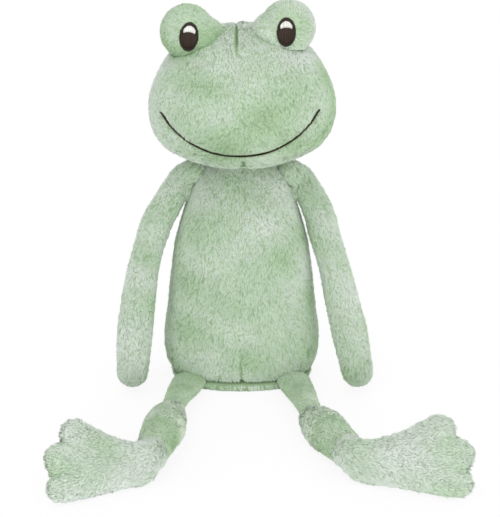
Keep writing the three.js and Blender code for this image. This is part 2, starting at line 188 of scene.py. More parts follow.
world = bpy.data.worlds.new("studio")
scene.world = world
world.use_nodes = True
ray = world.node_tree.nodes.new("ShaderNodeLightPath").outputs
camera_ray, glossy_ray, clear_ray = (
    Value(world.node_tree, ray[kind]) for kind in ("Is Camera Ray", "Is Glossy Ray", "Is Transmission Ray"))
backdrop = (camera_ray + glossy_ray + clear_ray).clamped()
world_light = 0.88
ground = world.node_tree.nodes["Background"]
ground.inputs["Color"].default_value = (1, 1, 1, 1)
world.node_tree.links.new((world_light + backdrop * (1 - world_light)).socket, ground.inputs["Strength"])

floor_reach, floor_glow = 6, 0.88
floor_corners = [(x * floor_reach, y * floor_reach, 0) for x, y in ((-1, -1), (1, -1), (1, 1), (-1, 1))]
floor = mesh_object("floor", floor_corners, [(0, 1, 2, 3)])
floor_paint, floor_shader, start = new_material("floor")
feed(floor_shader, Base_Color=linear(250, 250, 250), Roughness=0.9, Specular_IOR_Level=0)
seen = start.node("ShaderNodeLightPath")
floor_nodes = floor_paint.node_tree.nodes
show = floor_nodes.new("ShaderNodeMixShader")
for source, socket in (
    ((seen * floor_glow).socket, show.inputs[0]),
    (floor_shader.outputs[0], show.inputs[1]),
    (floor_nodes.new("ShaderNodeEmission").outputs[0], show.inputs[2]),
    (show.outputs[0], floor_nodes["Material Output"].inputs[0]),
):
    floor_paint.node_tree.links.new(source, socket)
floor.data.materials.append(floor_paint)
floor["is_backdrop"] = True

# The body: one stuffed tube of plush with the neck's ball on top, sewn to the oval panel below.
# Its skin is made of four panels that meet in the middle of the front and back and at the sides,
# and its pile lies downward.
random = np.random.default_rng(7)
far = 99


def unit(vectors):
    """Ways of length one."""
    return vectors / np.maximum(np.linalg.norm(vectors, axis=-1, keepdims=True), 1e-9)


def near(gap, width):
    """One at no gap, and falling away round it."""
    return np.exp(-((gap / width) ** 2))


def smooth_step(low, high, value):
    share = np.clip((value - low) / (high - low), 0, 1)
    return share * share * (3 - 2 * share)


def ripples(points, size, seed):
    """Soft hills and hollows over space, from about -1 to 1, each about size across."""
    waves = np.random.default_rng(seed)
    total = np.zeros(len(points))
    for _ in range(9):
        heading = unit(waves.normal(size=3)) * waves.uniform(0.7, 1.4) * math.pi / size
        total += np.sin(points @ heading + waves.uniform(0, 2 * math.pi))
    return total / 3


def rows_between(table, count, passes=3):
    """The table's rows, filled in to count even steps of the first column and smoothed."""
    table = np.array(table, float)
    place = np.linspace(table[0, 0], table[-1, 0], count)
    columns = [place]
    for column in table.T[1:]:
        line = np.interp(place, table[:, 0], column)
        for _ in range(passes * count // 40):
            line[1:-1] = (line[:-2] + 2 * line[1:-1] + line[2:]) / 4
        columns.append(line)
    return np.stack(columns, 1)


def level_ring(centre, half_width, front, back, squareness, sides):
    """A level ring with rounded corners and its own front and back depth."""
    angle = np.arange(sides) / sides * 2 * math.pi
    bulge = lambda share: np.sign(share) * np.abs(share) ** (2 / squareness)
    depth = np.where(np.sin(angle) < 0, front, back)
    ring = np.zeros((sides, 3)) + centre
    ring[:, 0] += half_width * bulge(np.cos(angle))
    ring[:, 1] += depth * bulge(np.sin(angle))
    return ring


def tube_faces(count, sides):
    """The faces over a row of rings with a pole at each end. Point 0 is the first pole."""
    at = lambda ring, side: 1 + ring * sides + side % sides
    row = range(sides)
    faces = [(0, at(0, s + 1), at(0, s)) for s in row]
    faces += [(at(r, s), at(r, s + 1), at(r + 1, s + 1), at(r + 1, s))
              for r in range(count - 1) for s in row]
    return faces + [(at(count - 1, s), at(count - 1, s + 1), count * sides + 1) for s in row]


def loft(first_pole, rings, last_pole):
    """A closed skin over a row of rings, from one pole to the other."""
    rings = np.array(rings)
    points = np.concatenate([[first_pole], rings.reshape(-1, 3), [last_pole]])
    return points, tube_faces(*rings.shape[:2])


def round_ball(centre, radius, stretch=(1, 1, 1)):
    """A ball, or an egg where it is stretched."""
    steps = 24
    rings = []
    for step in range(1, steps):
        angle = math.pi * step / steps
        reach = math.sin(angle)
        rings.append(level_ring((0, 0, -math.cos(angle)), reach, reach, reach, 2, 2 * steps))
    points, faces = loft((0, 0, -1), rings, (0, 0, 1))
    return points * radius * np.array(stretch) + centre, faces


def one_skin(name, forms, grain, passes=4):
    """The outside of forms that lie in each other, as one even skin, and its mesh in millimetres."""
    points, faces, first = [], [], 0
    for form_points, form_faces in forms:
        points.append(form_points)
        faces += [tuple(first + corner for corner in face) for face in form_faces]
        first += len(form_points)
    rough = mesh_object(name, np.concatenate(points), faces)
    remesh = rough.modifiers.new("remesh", "REMESH")
    remesh.mode = "VOXEL"
    remesh.voxel_size = grain
    remesh.use_smooth_shade = True
    soften = rough.modifiers.new("soften", "SMOOTH")
    soften.factor = 0.5
    soften.iterations = passes
    return settled(rough)


def settled(rough):
    """Applies an object's modifiers to its mesh."""
    graph = bpy.context.evaluated_depsgraph_get()
    mesh = bpy.data.meshes.new_from_object(rough.evaluated_get(graph))
    rough.modifiers.clear()
    rough.data = mesh
    return rough


def rows_of(items, name, kind=np.float32):
    """The three numbers that each of a mesh's items holds under a name."""
    numbers = np.empty(len(items) * 3, kind)
    items.foreach_get(name, numbers)
    return numbers.reshape(-1, 3)


def points_of(made):
    return rows_of(made.data.vertices, "co").astype(float)


def move_points(made, points):
    made.data.vertices.foreach_set("co", np.ascontiguousarray(points, np.float32).ravel())
    made.data.update()


def normals_of(made):
    return rows_of(made.data.vertices, "normal").astype(float)


# The simulation runs on a skin a hundredth of its millimetres in size, for this many frames.
cloth_shrink, cloth_frames, held_reach = 100, 20, 2.5
cloth_settings = {
    "quality": 4, "vertex_group_mass": "seams", "use_pressure": True, "uniform_pressure_force": 4,
    "tension_stiffness": 12, "compression_stiffness": 12,
}


def stuffed(made, seam_distance, swell, puckers):
    """Blows a skin up against its seams, which are held, as filling does, and keeps a share of the folds."""
    before = points_of(made)
    start_points = before - normals_of(made) * swell * 0.6
    move_points(made, start_points * (1 / cloth_shrink))
    held = np.clip(1 - seam_distance(before) / held_reach, 0, 1)
    group = made.vertex_groups.new(name="seams")
    for corner in np.nonzero(held > 0.05)[0]:
        group.add([int(corner)], float(held[corner]), "REPLACE")
    cloth = made.modifiers.new("cloth", "CLOTH")
    for name, setting in cloth_settings.items():
        setattr(cloth.settings, name, setting)
    cloth.settings.effector_weights.gravity = 0
    cloth.collision_settings.use_collision = False
    for number in range(1, cloth_frames + 1):
        scene.frame_set(number)
    settled(made)
    scene.frame_set(1)
    shift = points_of(made) * cloth_shrink - before
    length = np.linalg.norm(shift, axis=1, keepdims=True)
    shift *= np.minimum(1, swell / np.maximum(length, 1e-6))
    move_points(made, before + shift * puckers)


def sunk(made, depth):
    """Draws a skin in, so that the tips of its pile end where the sewn piece does."""
    move_points(made, points_of(made) - normals_of(made) * depth)


def fit_for_show(made, material, body, slot, *nodes):
    """Turns a finished mesh to metres, and gives it its finish, its body and the nodes it stands for."""
    move_points(made, points_of(made) * mm)
    made.data.materials.clear()
    made.data.materials.append(material)
    made.data.polygons.foreach_set("use_smooth", np.ones(len(made.data.polygons), bool))
    made.data.update()
    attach(made, body)
    if nodes:
        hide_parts(*nodes)


def roots_on(made, per_square):
    """Places spread evenly over a mesh in millimetres, row by row, with the way that it faces at each."""
    made.data.calc_loop_triangles()
    corners = rows_of(made.data.loop_triangles, "vertices", np.int32)
    points, normals = points_of(made), normals_of(made)
    a, b, c = (points[corners[:, k]] for k in range(3))
    middle = (a + b + c) / 3
    order = np.lexsort((middle[:, 0], np.round(middle[:, 2] / 1.5)))
    corners, a, b, c = corners[order], a[order], b[order], c[order]
    area = np.linalg.norm(np.cross(b - a, c - a), axis=1) / 2
    reach = np.cumsum(area)
    count = int(reach[-1] * per_square)
    spots = (np.arange(count) + random.uniform(0, 1, count)) / count * reach[-1]
    chosen = np.minimum(np.searchsorted(reach, spots), len(area) - 1)
    u, v = np.sqrt(random.uniform(0, 1, count)), random.uniform(0, 1, count)
    weights = np.stack([1 - u, u * (1 - v), u * v], 1)
    places = (points[corners[chosen]] * weights[:, :, None]).sum(1)
    facing = unit((normals[corners[chosen]] * weights[:, :, None]).sum(1))
    return places, facing


# The colour of the painted shade in the seams' grooves.
seam_shade = linear(96, 124, 88)
sheen_green = linear(218, 234, 212)


def pile_finish(name, *colours):
    """Short plush: the fibres go from dark and green at the root to pale at the tip."""
    material, shader, begin = new_material(name)
    along = begin.node("ShaderNodeAttribute", {"attribute_name": "along"}, output=2)
    tone = begin.node("ShaderNodeAttribute", {"attribute_name": "tone"}, output=2)
    place = begin.node("ShaderNodeTexCoord", output=3)
    fleck = begin.node("ShaderNodeTexNoise", Vector=place, Scale=900.0, Detail=2.0)
    shade = along * 0.4 + tone * 0.62 + fleck * 0.1 - 0.13
    stops = [(reach, linear(*screen)) for reach, screen in zip((0, 0.3, 0.56, 1), colours)]
    colour = begin.node("ShaderNodeValToRGB", {"stops": stops}, _0=shade)
    feed(shader, Base_Color=colour, Roughness=0.85, Specular_IOR_Level=0.2,
         Sheen_Weight=0.55, Sheen_Tint=sheen_green, Sheen_Roughness=0.4)
    return material


def skin_finish(name, colour):
    """The knitted back of the plush, which shows only at the roots of the pile and deep in its seams. Where a
    skin is marked as seam, it is painted darker as painted shade in the seam's groove.
    """
    material, shader, begin = new_material(name)
    place = begin.node("ShaderNodeTexCoord", output=3)
    knit = begin.node("ShaderNodeTexNoise", Vector=place, Scale=1400.0, Detail=3.0)
    dark = tuple(c * 0.85 for c in colour[:3]) + (1.0,)
    seam = begin.node("ShaderNodeAttribute", {"attribute_name": "seam"}, output=2)
    bump = begin.node("ShaderNodeBump", Height=knit, Strength=0.5, Distance=0.0004)
    feed(shader, Base_Color=seam.blend(knit.blend(dark, colour), seam_shade), Normal=bump,
         Roughness=0.95, Specular_IOR_Level=0.1)
    return material


pile_paint = pile_finish("plush pile", (158, 188, 147), (190, 215, 181), (207, 222, 204), (229, 236, 229))
skin_paint = skin_finish("plush backing", linear(180, 206, 168))

# The pile, in tufts for each square millimetre, in its locks, and in the way its tufts lie and bend.
pile_density = 2.9
most_tufts = 33000
tufts_in_lock, lock_half_width, lock_gather = 6, 0.56, 0.42
locks_near, lock_slimness = 6, 0.82
curl_size, curl, sway_size, sway, wild = 3.2, 0.22, 14, 0.2, 0.16
fuzz_share, fuzz_lean, fuzz_width = 0.07, 0.75, 0.45
parting_width, root_depth = 0.9, 0.15
least_heights = 0.15 + 0.4 * np.array([0.3, 0.1, 0.4, 0.2, 0.6])
corner_order = np.array([(0, 1, 2), (0, 2, 3), (0, 3, 1), (4, 2, 1), (4, 3, 2), (4, 1, 3)])


def at_roots(source, roots):
    """A plain number, or what a function makes of the roots."""
    return source(roots) if callable(source) else source


def grow_pile(name, made, body, material, flow, length, tone, part=None, keep=None,
              lean=(1.18, 1.4), lock_shade=1.0):
    """Covers a skin with tufts.

    flow gives the way the pile lies, length its millimetres, tone how pale it is, part how far its
    partings are and keep where it grows. lean is the tilt of a tuft's lower and upper half, and
    lock_shade how much painted shade darkens the edges of the locks, in the gaps between them.
    """
    roots, facing = roots_on(made, pile_density)
    if keep is not None:
        kept = keep(roots, facing)
        roots, facing = roots[kept], facing[kept]
    count = len(roots)
    way = flow(roots, facing)
    bend = np.stack([ripples(roots, curl_size, seed) for seed in (11, 12, 13)], 1)
    coarse = np.stack([ripples(roots, sway_size, seed) for seed in (21, 22, 23)], 1)
    way = way + bend * curl + coarse * sway + random.normal(0, wild, (count, 3))
    way = unit(way - facing * (way * facing).sum(1, keepdims=True))
    tall = at_roots(length, roots) * random.uniform(0.75, 1.2, count)
    lie = lean[0] + 0.06 * ripples(roots, 2.6, 31) + random.normal(0, 0.1, count)
    fuzz = random.uniform(0, 1, count) < fuzz_share
    lie = np.where(fuzz, fuzz_lean, lie)
    fall = lie + (lean[1] - lean[0])
    if part is not None:
        gap, away = part(roots)
        parted = near(gap, parting_width)[:, None]
        way = unit(way * (1 - parted) + away * parted)
        tall = tall * (1 - 0.5 * parted[:, 0])
    lift = lambda angle: facing * np.cos(angle)[:, None] + way * np.sin(angle)[:, None]
    bottom = roots - facing * root_depth
    middle = bottom + lift(lie) * (tall * 0.5)[:, None]
    top = middle + lift(fall) * (tall * 0.55)[:, None]
    leader = lock_leaders(roots, way)
    top = top + (top[leader] - top) * lock_gather
    across = unit(np.cross(top - bottom, facing))
    edge = np.abs(((roots - roots[leader]) * across).sum(1)) / lock_half_width
    outward = unit(np.cross(across, top - bottom))
    wide = (random.uniform(0.24, 0.36, count) * np.where(fuzz, fuzz_width, 1))[:, None]
    spots = np.empty((count, 5, 3))
    spots[:, 0], spots[:, 4] = bottom, top
    for corner, angle in enumerate(np.array([90, 210, 330]) * math.pi / 180):
        spots[:, 1 + corner] = middle + wide * (across * math.cos(angle) + outward * math.sin(angle))
    spots[:, :, 2] = np.maximum(spots[:, :, 2], least_heights)
    # Each lock is painted paler in its middle and darker at its edges: painted shade in the gaps between the
    # locks.
    lock = np.clip(edge, 0, 1.2)
    shade = at_roots(tone, roots) + 0.18 * coarse[:, 0]
    shade = shade + lock_shade * (0.18 - 0.6 * lock ** 3) + random.normal(0, 0.07, count)
    parts = math.ceil(count / most_tufts)
    for number, chosen in enumerate(np.array_split(np.arange(count), parts)):
        part_name = f"{name}_{number + 1}" if parts > 1 else name
        tufts = tuft_mesh(part_name, spots[chosen], shade[chosen], facing[chosen])
        tufts.data.materials.append(material)
        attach(tufts, body)


def tree_of(spots):
    """A search tree over places, by their numbers."""
    tree = kdtree.KDTree(len(spots))
    for number, spot in enumerate(spots):
        tree.insert(spot, number)
    tree.balance()
    return tree


def lock_leaders(roots, way):
    """The tuft that leads each tuft's lock. A lock is long and narrow, and its tips are drawn together."""
    leaders = random.permutation(len(roots))[:max(1, len(roots) // tufts_in_lock)]
    tree = tree_of(roots[leaders])
    close = np.array([[number for _, number, _ in tree.find_n(root, locks_near)] for root in roots])
    shift = roots[leaders[close]] - roots[:, None]
    gap = (shift ** 2).sum(2) - lock_slimness * (shift * way[:, None]).sum(2) ** 2
    return leaders[close[np.arange(len(roots)), gap.argmin(1)]]


def mark(mesh, name, numbers):
    """Gives each point of a mesh a number that its material reads."""
    mesh.attributes.new(name, "FLOAT", "POINT").data.foreach_set("value", numbers.astype(np.float32))


def tuft_mesh(name, spots, shade, facing):
    """One closed tuft of five corners for each root, with a place of its own on the colour map."""
    count = len(spots)
    mesh = bpy.data.meshes.new(name)
    mesh.vertices.add(count * 5)
    mesh.vertices.foreach_set("co", (spots * mm).astype(np.float32).ravel())
    corners = (np.arange(count)[:, None, None] * 5 + corner_order[None]).ravel()
    mesh.loops.add(len(corners))
    mesh.loops.foreach_set("vertex_index", corners.astype(np.int32))
    mesh.polygons.add(count * 6)
    mesh.polygons.foreach_set("loop_start", np.arange(0, len(corners), 3, dtype=np.int32))
    mesh.polygons.foreach_set("use_smooth", np.ones(count * 6, bool))
    mesh.update(calc_edges=True)
    mark(mesh, "along", np.tile([0, 0.55, 0.55, 0.55, 1], count))
    mark(mesh, "tone", np.repeat(shade, 5))
    grid = math.ceil(math.sqrt(count))
    cell = np.stack([np.arange(count) % grid, np.arange(count) // grid], 1)[:, None, :]
    flat = np.array([(0.5, 0.05), (0.1, 0.5), (0.9, 0.5), (0.1, 0.6), (0.5, 0.95)])
    places = (cell + flat[corner_order.ravel()][None]) / grid
    layer = mesh.uv_layers.new(name="OFBake")
    layer.data.foreach_set("uv", places.astype(np.float32).ravel())
    # Light falls on the pile as on a soft surface, so each tuft is shaded mostly as its skin faces.
    round_way = unit(spots - spots.mean(1, keepdims=True))
    soft_way = unit(facing[:, None] * 0.55 + round_way + (0, 0, 0.25))
    mesh.normals_split_custom_set_from_vertices(soft_way.reshape(-1, 3).astype(np.float32))
    return new_object(name, mesh)


body_height, body_width, body_depth = 134, 97.4, 78
body_lean = math.radians(6)
panel_height, seam_gap = 5, 0.3
body_shares = [
    (0.04, 0.885, 0.9), (0.075, 0.96, 0.965), (0.14, 1, 1), (0.22, 0.998, 1), (0.335, 0.95, 0.97),
    (0.455, 0.918, 0.935), (0.565, 0.88, 0.895), (0.64, 0.848, 0.86), (0.7, 0.8, 0.82),
    (0.775, 0.74, 0.77), (0.86, 0.655, 0.69), (0.93, 0.575, 0.61), (0.97, 0.5, 0.54), (1, 0.4, 0.44),
]
body_squareness = 2.35
neck_rise, neck_radius = 130.5, 18
ring_seam_above, ring_groove_rise, ring_groove_width, ring_groove_depth = 0.6, 5.4, 1.6, 0.9
front_seam_ends, front_seam_width, front_seam_depth = (12, 32), 1.5, 1.0


def body_middle(height):
    return np.array((0, height * math.tan(body_lean), height))


body_rings = [level_ring(body_middle(share * body_height), width * body_width / 2, depth * body_depth / 2,
                         depth * body_depth / 2, body_squareness, 120)
              for share, width, depth in rows_between(body_shares, 90, 1)]
body_foot = body_middle(body_shares[0][0] * body_height)
body_form = loft(body_foot, body_rings, body_middle(body_height + seam_gap))
body_skin = one_skin("body", [body_form, round_ball(body_middle(neck_rise), neck_radius)], grain=1.6)


def body_seams(points):
    """Distance to the nearest body seam: front and back middle, both sides, and the ring below."""
    x = np.abs(points[:, 0])
    y = points[:, 1] - points[:, 2] * math.tan(body_lean)
    upright = np.minimum(x, np.abs(y) * 0.9)
    return np.minimum(upright, np.abs(points[:, 2] - panel_height - ring_seam_above))


stuffed(body_skin, body_seams, swell=2.0, puckers=0.6)
sunk(body_skin, depth=0.4)


def body_groove(points, facing):
    """The seams sink into the skin: most at the ring below and at the foot of the front seam."""
    x = np.abs(points[:, 0])
    low = 1 - smooth_step(*front_seam_ends, points[:, 2])
    front = near(x, front_seam_width) * (points[:, 1] < points[:, 2] * 0.1) * (0.25 + low)
    ring = near(points[:, 2] - ring_groove_rise, ring_groove_width)
    # The seam mark is painted shade in the grooves of the front seam and the ring seam.
    mark(body_skin.data, "seam", np.clip(0.5 * front + 0.4 * ring, 0, 1))
    return points - facing * (front * front_seam_depth + ring * ring_groove_depth)[:, None]


move_points(body_skin, body_groove(points_of(body_skin), normals_of(body_skin)))


def flow_down(roots, facing):
    way = np.zeros_like(roots)
    way[:, 2] = -1
    way[:, 0] = 0.25 * roots[:, 0] / 50
    return way


def part_body(roots):
    """The pile parts at the foot of the front seam."""
    x = roots[:, 0]
    gap = np.where((roots[:, 1] < 5) & (roots[:, 2] < 26), np.abs(x) * 0.9, far)
    return gap, np.sign(x)[:, None] * (1, 0, 0)


def body_tone(roots):
    """Paler under the chin, as painted light that lifts the head's shadow on the chest, in soft patches."""
    chin = smooth_step(88, 122, roots[:, 2])
    return 0.46 + 0.2 * chin + 0.16 * ripples(roots, 26, 41)


grow_pile("body_pile", body_skin, "torso", pile_paint, flow_down,
          length=2.7, tone=body_tone, part=part_body, lock_shade=0.58)
fit_for_show(body_skin, skin_paint, "torso", "pile_green", "body_skin", "body_filling", "pellet_pouch")


# The base panel: an oval of the same plush that closes the body below. It lies flat on the
# surface, and a band of it shows in front, under the ring seam.
panel_foot_width, panel_foot_depth = 82, 66
panel_shares = [(0, 0), (0.08, 0.4), (0.3, 0.72), (0.6, 0.92), (0.85, 0.99), (1, 1)]
panel_lift, panel_squeeze = 0.1, 0.96
panel_pile_low, panel_pile_high, panel_flat = 0.8, 4.88, 0.9
panel_rings = []
for height, spread in rows_between(panel_shares, 14, 1):
    width = np.interp(spread, (0, 1), (panel_foot_width, body_width * body_shares[0][1])) / 2
    depth = np.interp(spread, (0, 1), (panel_foot_depth, body_depth * body_shares[0][2])) / 2
    middle = body_middle(height * panel_height) * (1, 1, panel_squeeze) + (0, 0, panel_lift)
    panel_rings.append(level_ring(middle, width, depth, depth, body_squareness, 120))
panel_points, panel_faces = loft((0, 0, panel_lift), panel_rings, body_middle(panel_height))
base_panel = mesh_object("base", panel_points, panel_faces)
# The panel's top, under the ring seam, is marked as seam: painted shade in the seam's groove.
mark(base_panel.data, "seam", 0.45 * smooth_step(3.2, 4.8, panel_points[:, 2]))
grow_pile("base_pile", base_panel, "torso", pile_paint, flow_down, length=2.4, tone=0.36,
          keep=lambda roots, facing: ((np.abs(facing[:, 2]) < panel_flat) & (roots[:, 2] > panel_pile_low)
                                      & (roots[:, 2] < panel_pile_high)))
fit_for_show(base_panel, skin_paint, "torso", "pile_green", "base_panel")

# The head: one wide stuffed ball of plush, sewn round the neck's ball. Its front panels meet in a
# seam that shows on the forehead and as a notch in the chin. The pile lies down from the crown
# and turns outward from the middle of the muzzle.
head_width, head_height, head_front, head_back = 113, 90, 47, 43
head_squareness = 2.25
head_shares = [
    (-0.95, 0.36, 0.36, 0.38), (-0.84, 0.62, 0.61, 0.59), (-0.7, 0.825, 0.8, 0.75), (-0.5, 0.95, 0.94, 0.89),
    (-0.28, 1, 0.995, 0.97), (-0.05, 1.005, 0.99, 1), (0.15, 0.965, 0.95, 0.99), (0.36, 0.89, 0.88, 0.94),
    (0.52, 0.815, 0.8, 0.86), (0.68, 0.71, 0.69, 0.74), (0.82, 0.57, 0.54, 0.58), (0.93, 0.37, 0.35, 0.38),
]
head_turn = Matrix.Rotation(math.radians(-8), 4, "X") @ Matrix.Rotation(math.radians(-1), 4, "Y")
head_place = Matrix.Translation((0.5, -3, 178.6)) @ head_turn


def placed(points, matrix):
    turn = np.array(matrix.to_3x3())
    return np.asarray(points) @ turn.T + np.array(matrix.translation)


def turned(directions, matrix):
    return np.asarray(directions) @ np.array(matrix.to_3x3()).T


def form_at(form, matrix):
    points, faces = form
    return placed(points, matrix), faces


head_rows = rows_between(head_shares, 90, 1)
head_rings = [level_ring((0, 0, head_height / 2 * share), width * head_width / 2, head_front * front,
                         head_back * back, head_squareness, 140) for share, width, front, back in head_rows]
head_form = loft((0, 0, -head_height / 2), head_rings, (0, 0, head_height / 2))
head_skin = one_skin("head", [form_at(head_form, head_place)], grain=1.7)
to_head = head_place.inverted()
forehead_seam_side, forehead_seam_width, forehead_seam_depth = -2.4, 1.1, 1.3
chin_notch_width, chin_notch_depth = 2.2, 2.4
mouth_groove_width, mouth_groove_depth = 1.8, 0.9


def head_seams(points):
    """Distance to the seam that runs from the forehead over the crown and the back to the chin."""
    x, y, z = placed(points, to_head).T
    side = np.abs(x - forehead_seam_side)
    return np.where((y > 0) | (z > 24) | (z < -36), side, far)


stuffed(head_skin, head_seams, swell=2.0, puckers=0.6)
sunk(head_skin, depth=0.9)

mouth_half_width, mouth_side, mouth_rise, mouth_drop = 45.8, -1.1, -7, 25.6
mouth_shares = [
    (-1, 0), (-0.86, -0.34), (-0.63, -0.68), (-0.34, -0.92), (0, -1),
    (0.34, -0.92), (0.63, -0.68), (0.86, -0.34), (1, 0),
]


def curve_through(line, count, closed=False):
    """Points along a smooth curve through the line's points, at even steps of its length."""
    line = np.array(line, float)
    steps = len(line) if closed else len(line) - 1
    fine = []
    for step in range(steps):
        if closed:
            a, b, c, d = (line[(step + k) % len(line)] for k in (-1, 0, 1, 2))
        else:
            b, c = line[step], line[step + 1]
            a = line[step - 1] if step > 0 else 2 * b - c
            d = line[step + 2] if step + 2 < len(line) else 2 * c - b
        share = np.linspace(0, 1, 24, endpoint=False)[:, None]
        fine.append(0.5 * (2 * b + (c - a) * share + (2 * a - 5 * b + 4 * c - d) * share ** 2
                           + (3 * b - a - 3 * c + d) * share ** 3))
    fine.append(line[:1] if closed else line[-1:])
    fine = np.concatenate(fine)
    reach = np.concatenate([[0], np.cumsum(np.linalg.norm(np.diff(fine, axis=0), axis=1))])
    places = np.linspace(0, reach[-1], count + 1)[:-1] if closed else np.linspace(0, reach[-1], count)
    return np.stack([np.interp(places, reach, column) for column in fine.T], 1)


mouth_flat = curve_through([(mouth_side + mouth_half_width * across, mouth_rise + mouth_drop * down)
                            for across, down in mouth_shares], 330)
mouth_line = np.stack([mouth_flat[:, 0], np.zeros(len(mouth_flat)), mouth_flat[:, 1]], 1)
mouth_tree = tree_of(mouth_line)


def beside_mouth(local):
    """How far a point of the face lies from the mouth line, and on which side, seen from the front."""
    flat = local * (1, 0, 1)
    found = [mouth_tree.find(spot) for spot in flat]
    gap = np.array([f[2] for f in found])
    gap[local[:, 1] > -5] = far
    return gap, unit(flat - mouth_line[[f[1] for f in found]])


def head_groove(points, facing):
    """The forehead seam, the chin's notch and the mouth line sink into the face."""
    local = placed(points, to_head)
    x, y, z = local.T
    forehead = near(x - forehead_seam_side, forehead_seam_width) * smooth_step(24, 34, z) * (y < 10)
    chin = near(x, chin_notch_width) * (1 - smooth_step(-42, -34, z)) * (y < 0)
    mouth = near(beside_mouth(local)[0], mouth_groove_width)
    # The seam mark is painted shade in the grooves of the forehead seam and the chin's notch.
    mark(head_skin.data, "seam", np.clip(forehead + chin, 0, 1))
    depth = forehead * forehead_seam_depth + chin * chin_notch_depth + mouth * mouth_groove_depth
    return points - facing * depth[:, None]


move_points(head_skin, head_groove(points_of(head_skin), normals_of(head_skin)))

mound_size = np.array((33.4, 36, 33.6)) / 2
mound_middles = {"left": np.array((27.8, -15, 40.6)), "right": np.array((-31.2, -15, 39))}


def mound_forms(name):
    """A mound's ball, and the lower one at its foot that runs in toward the forehead."""
    middle = mound_middles[name]
    inward = -math.copysign(8, middle[0])
    return [(middle, mound_size), (middle + (inward, 1.5, -3), mound_size * (0.86, 0.9, 0.78))]


def mound_depth(local):
    """How far out of the nearer eye mound a point lies, below zero inside it."""
    gaps = [(np.linalg.norm((local - middle) / half_size, axis=1) - 1) * half_size.mean()
            for name in mound_middles for middle, half_size in mound_forms(name)]
    return np.min(gaps, axis=0)


def flow_on_head(roots, facing):
    """Down from the crown, and outward round the middle of the muzzle."""
    local = placed(roots, to_head)
    x, y, z = local.T
    zero = np.zeros(len(x))
    down = np.stack([x / 90, zero - 0.6, zero - 1], 1)
    outward = unit(np.stack([x + 1, zero, np.minimum(z + 13, 0) - 7], 1))
    on_muzzle = near(np.linalg.norm(local[:, [0, 2]] - (-1, -13), axis=1), 24) * (y < 0)
    share = (on_muzzle * (1 - smooth_step(-14, 2, z)))[:, None]
    return turned(down * (1 - share) + outward * share, head_place)


def part_head(roots):
    """The pile parts along the mouth, at the forehead seam and at the chin's notch."""
    local = placed(roots, to_head)
    x, _, z = local.T
    gap, away = beside_mouth(local)
    beside = x - np.where(z > 0, forehead_seam_side, 0)
    seam = np.where((z > 28) | (z < -36), np.abs(beside) * 0.8, far)
    side = np.sign(beside)[:, None] * (1, 0, 0)
    nearer = (seam < gap)[:, None]
    return np.minimum(gap * 0.9, seam), turned(np.where(nearer, side, away), head_place)


def head_tone(roots):
    """Pale on the forehead and greener on the muzzle and on the left cheek, with painted shade in the crease
    round the eye mounds and along the forehead seam and the chin's notch.
    """
    local = placed(roots, to_head)
    x, y, z = local.T
    muzzle = np.exp(-((x / 30) ** 2) - ((z + 18) / 20) ** 2) * (y < 0)
    # Painted shade in the crease round the eye mounds.
    crease = np.exp(-np.maximum(mound_depth(local), 0) / 0.9)
    brow = smooth_step(8, 26, z) + 1.6 * smooth_step(26, 36, z)
    # Painted shade along the forehead seam and in the chin's notch.
    forehead = near(x - forehead_seam_side, 0.5) * (z > 26)
    chin = near(x, 0.8) * (z < -36)
    seams = (forehead + chin) * (y < 0)
    cheek = smooth_step(14, 44, x) * (1 - smooth_step(12, 26, z))
    patches = 0.2 * ripples(roots, 20, 43)
    return 0.7 - 0.66 * muzzle - 0.4 * crease + 0.2 * brow - 1.4 * seams - 0.5 * cheek + patches


def keep_on_head(roots, facing):
    """No pile grows under the eye mounds."""
    return mound_depth(placed(roots, to_head)) > -1.5


grow_pile("head_pile", head_skin, "head", pile_paint, flow_on_head,
          length=2.7, tone=head_tone, part=part_head, keep=keep_on_head, lock_shade=0.48)

# The eye mounds: two stuffed balls of the same plush, with a shorter pile that is greener on the
# right one, sewn on the upper corners of the head with a tight crease all round.
both_sides = (("left", 1), ("right", -1))
eye_width, eye_height = 11.6, 17.2
eye_inward, eye_drop = 1.4, 2.4
mound_paleness = {"left": 0.92, "right": 0.22}


def in_head(local, extra):
    """Whether a point of head space lies inside the head's own form, made larger by extra."""
    x, y, z = local.T
    share = z / (head_height / 2)
    wide, front, back = (np.interp(share, head_rows[:, 0], head_rows[:, k]) for k in (1, 2, 3))
    width = wide * head_width / 2 + extra
    depth = np.where(y < 0, front * head_front, back * head_back) + extra
    inside = (np.abs(x) / width) ** head_squareness + (np.abs(y) / depth) ** head_squareness
    return (inside < 1) & (np.abs(share) < 1)


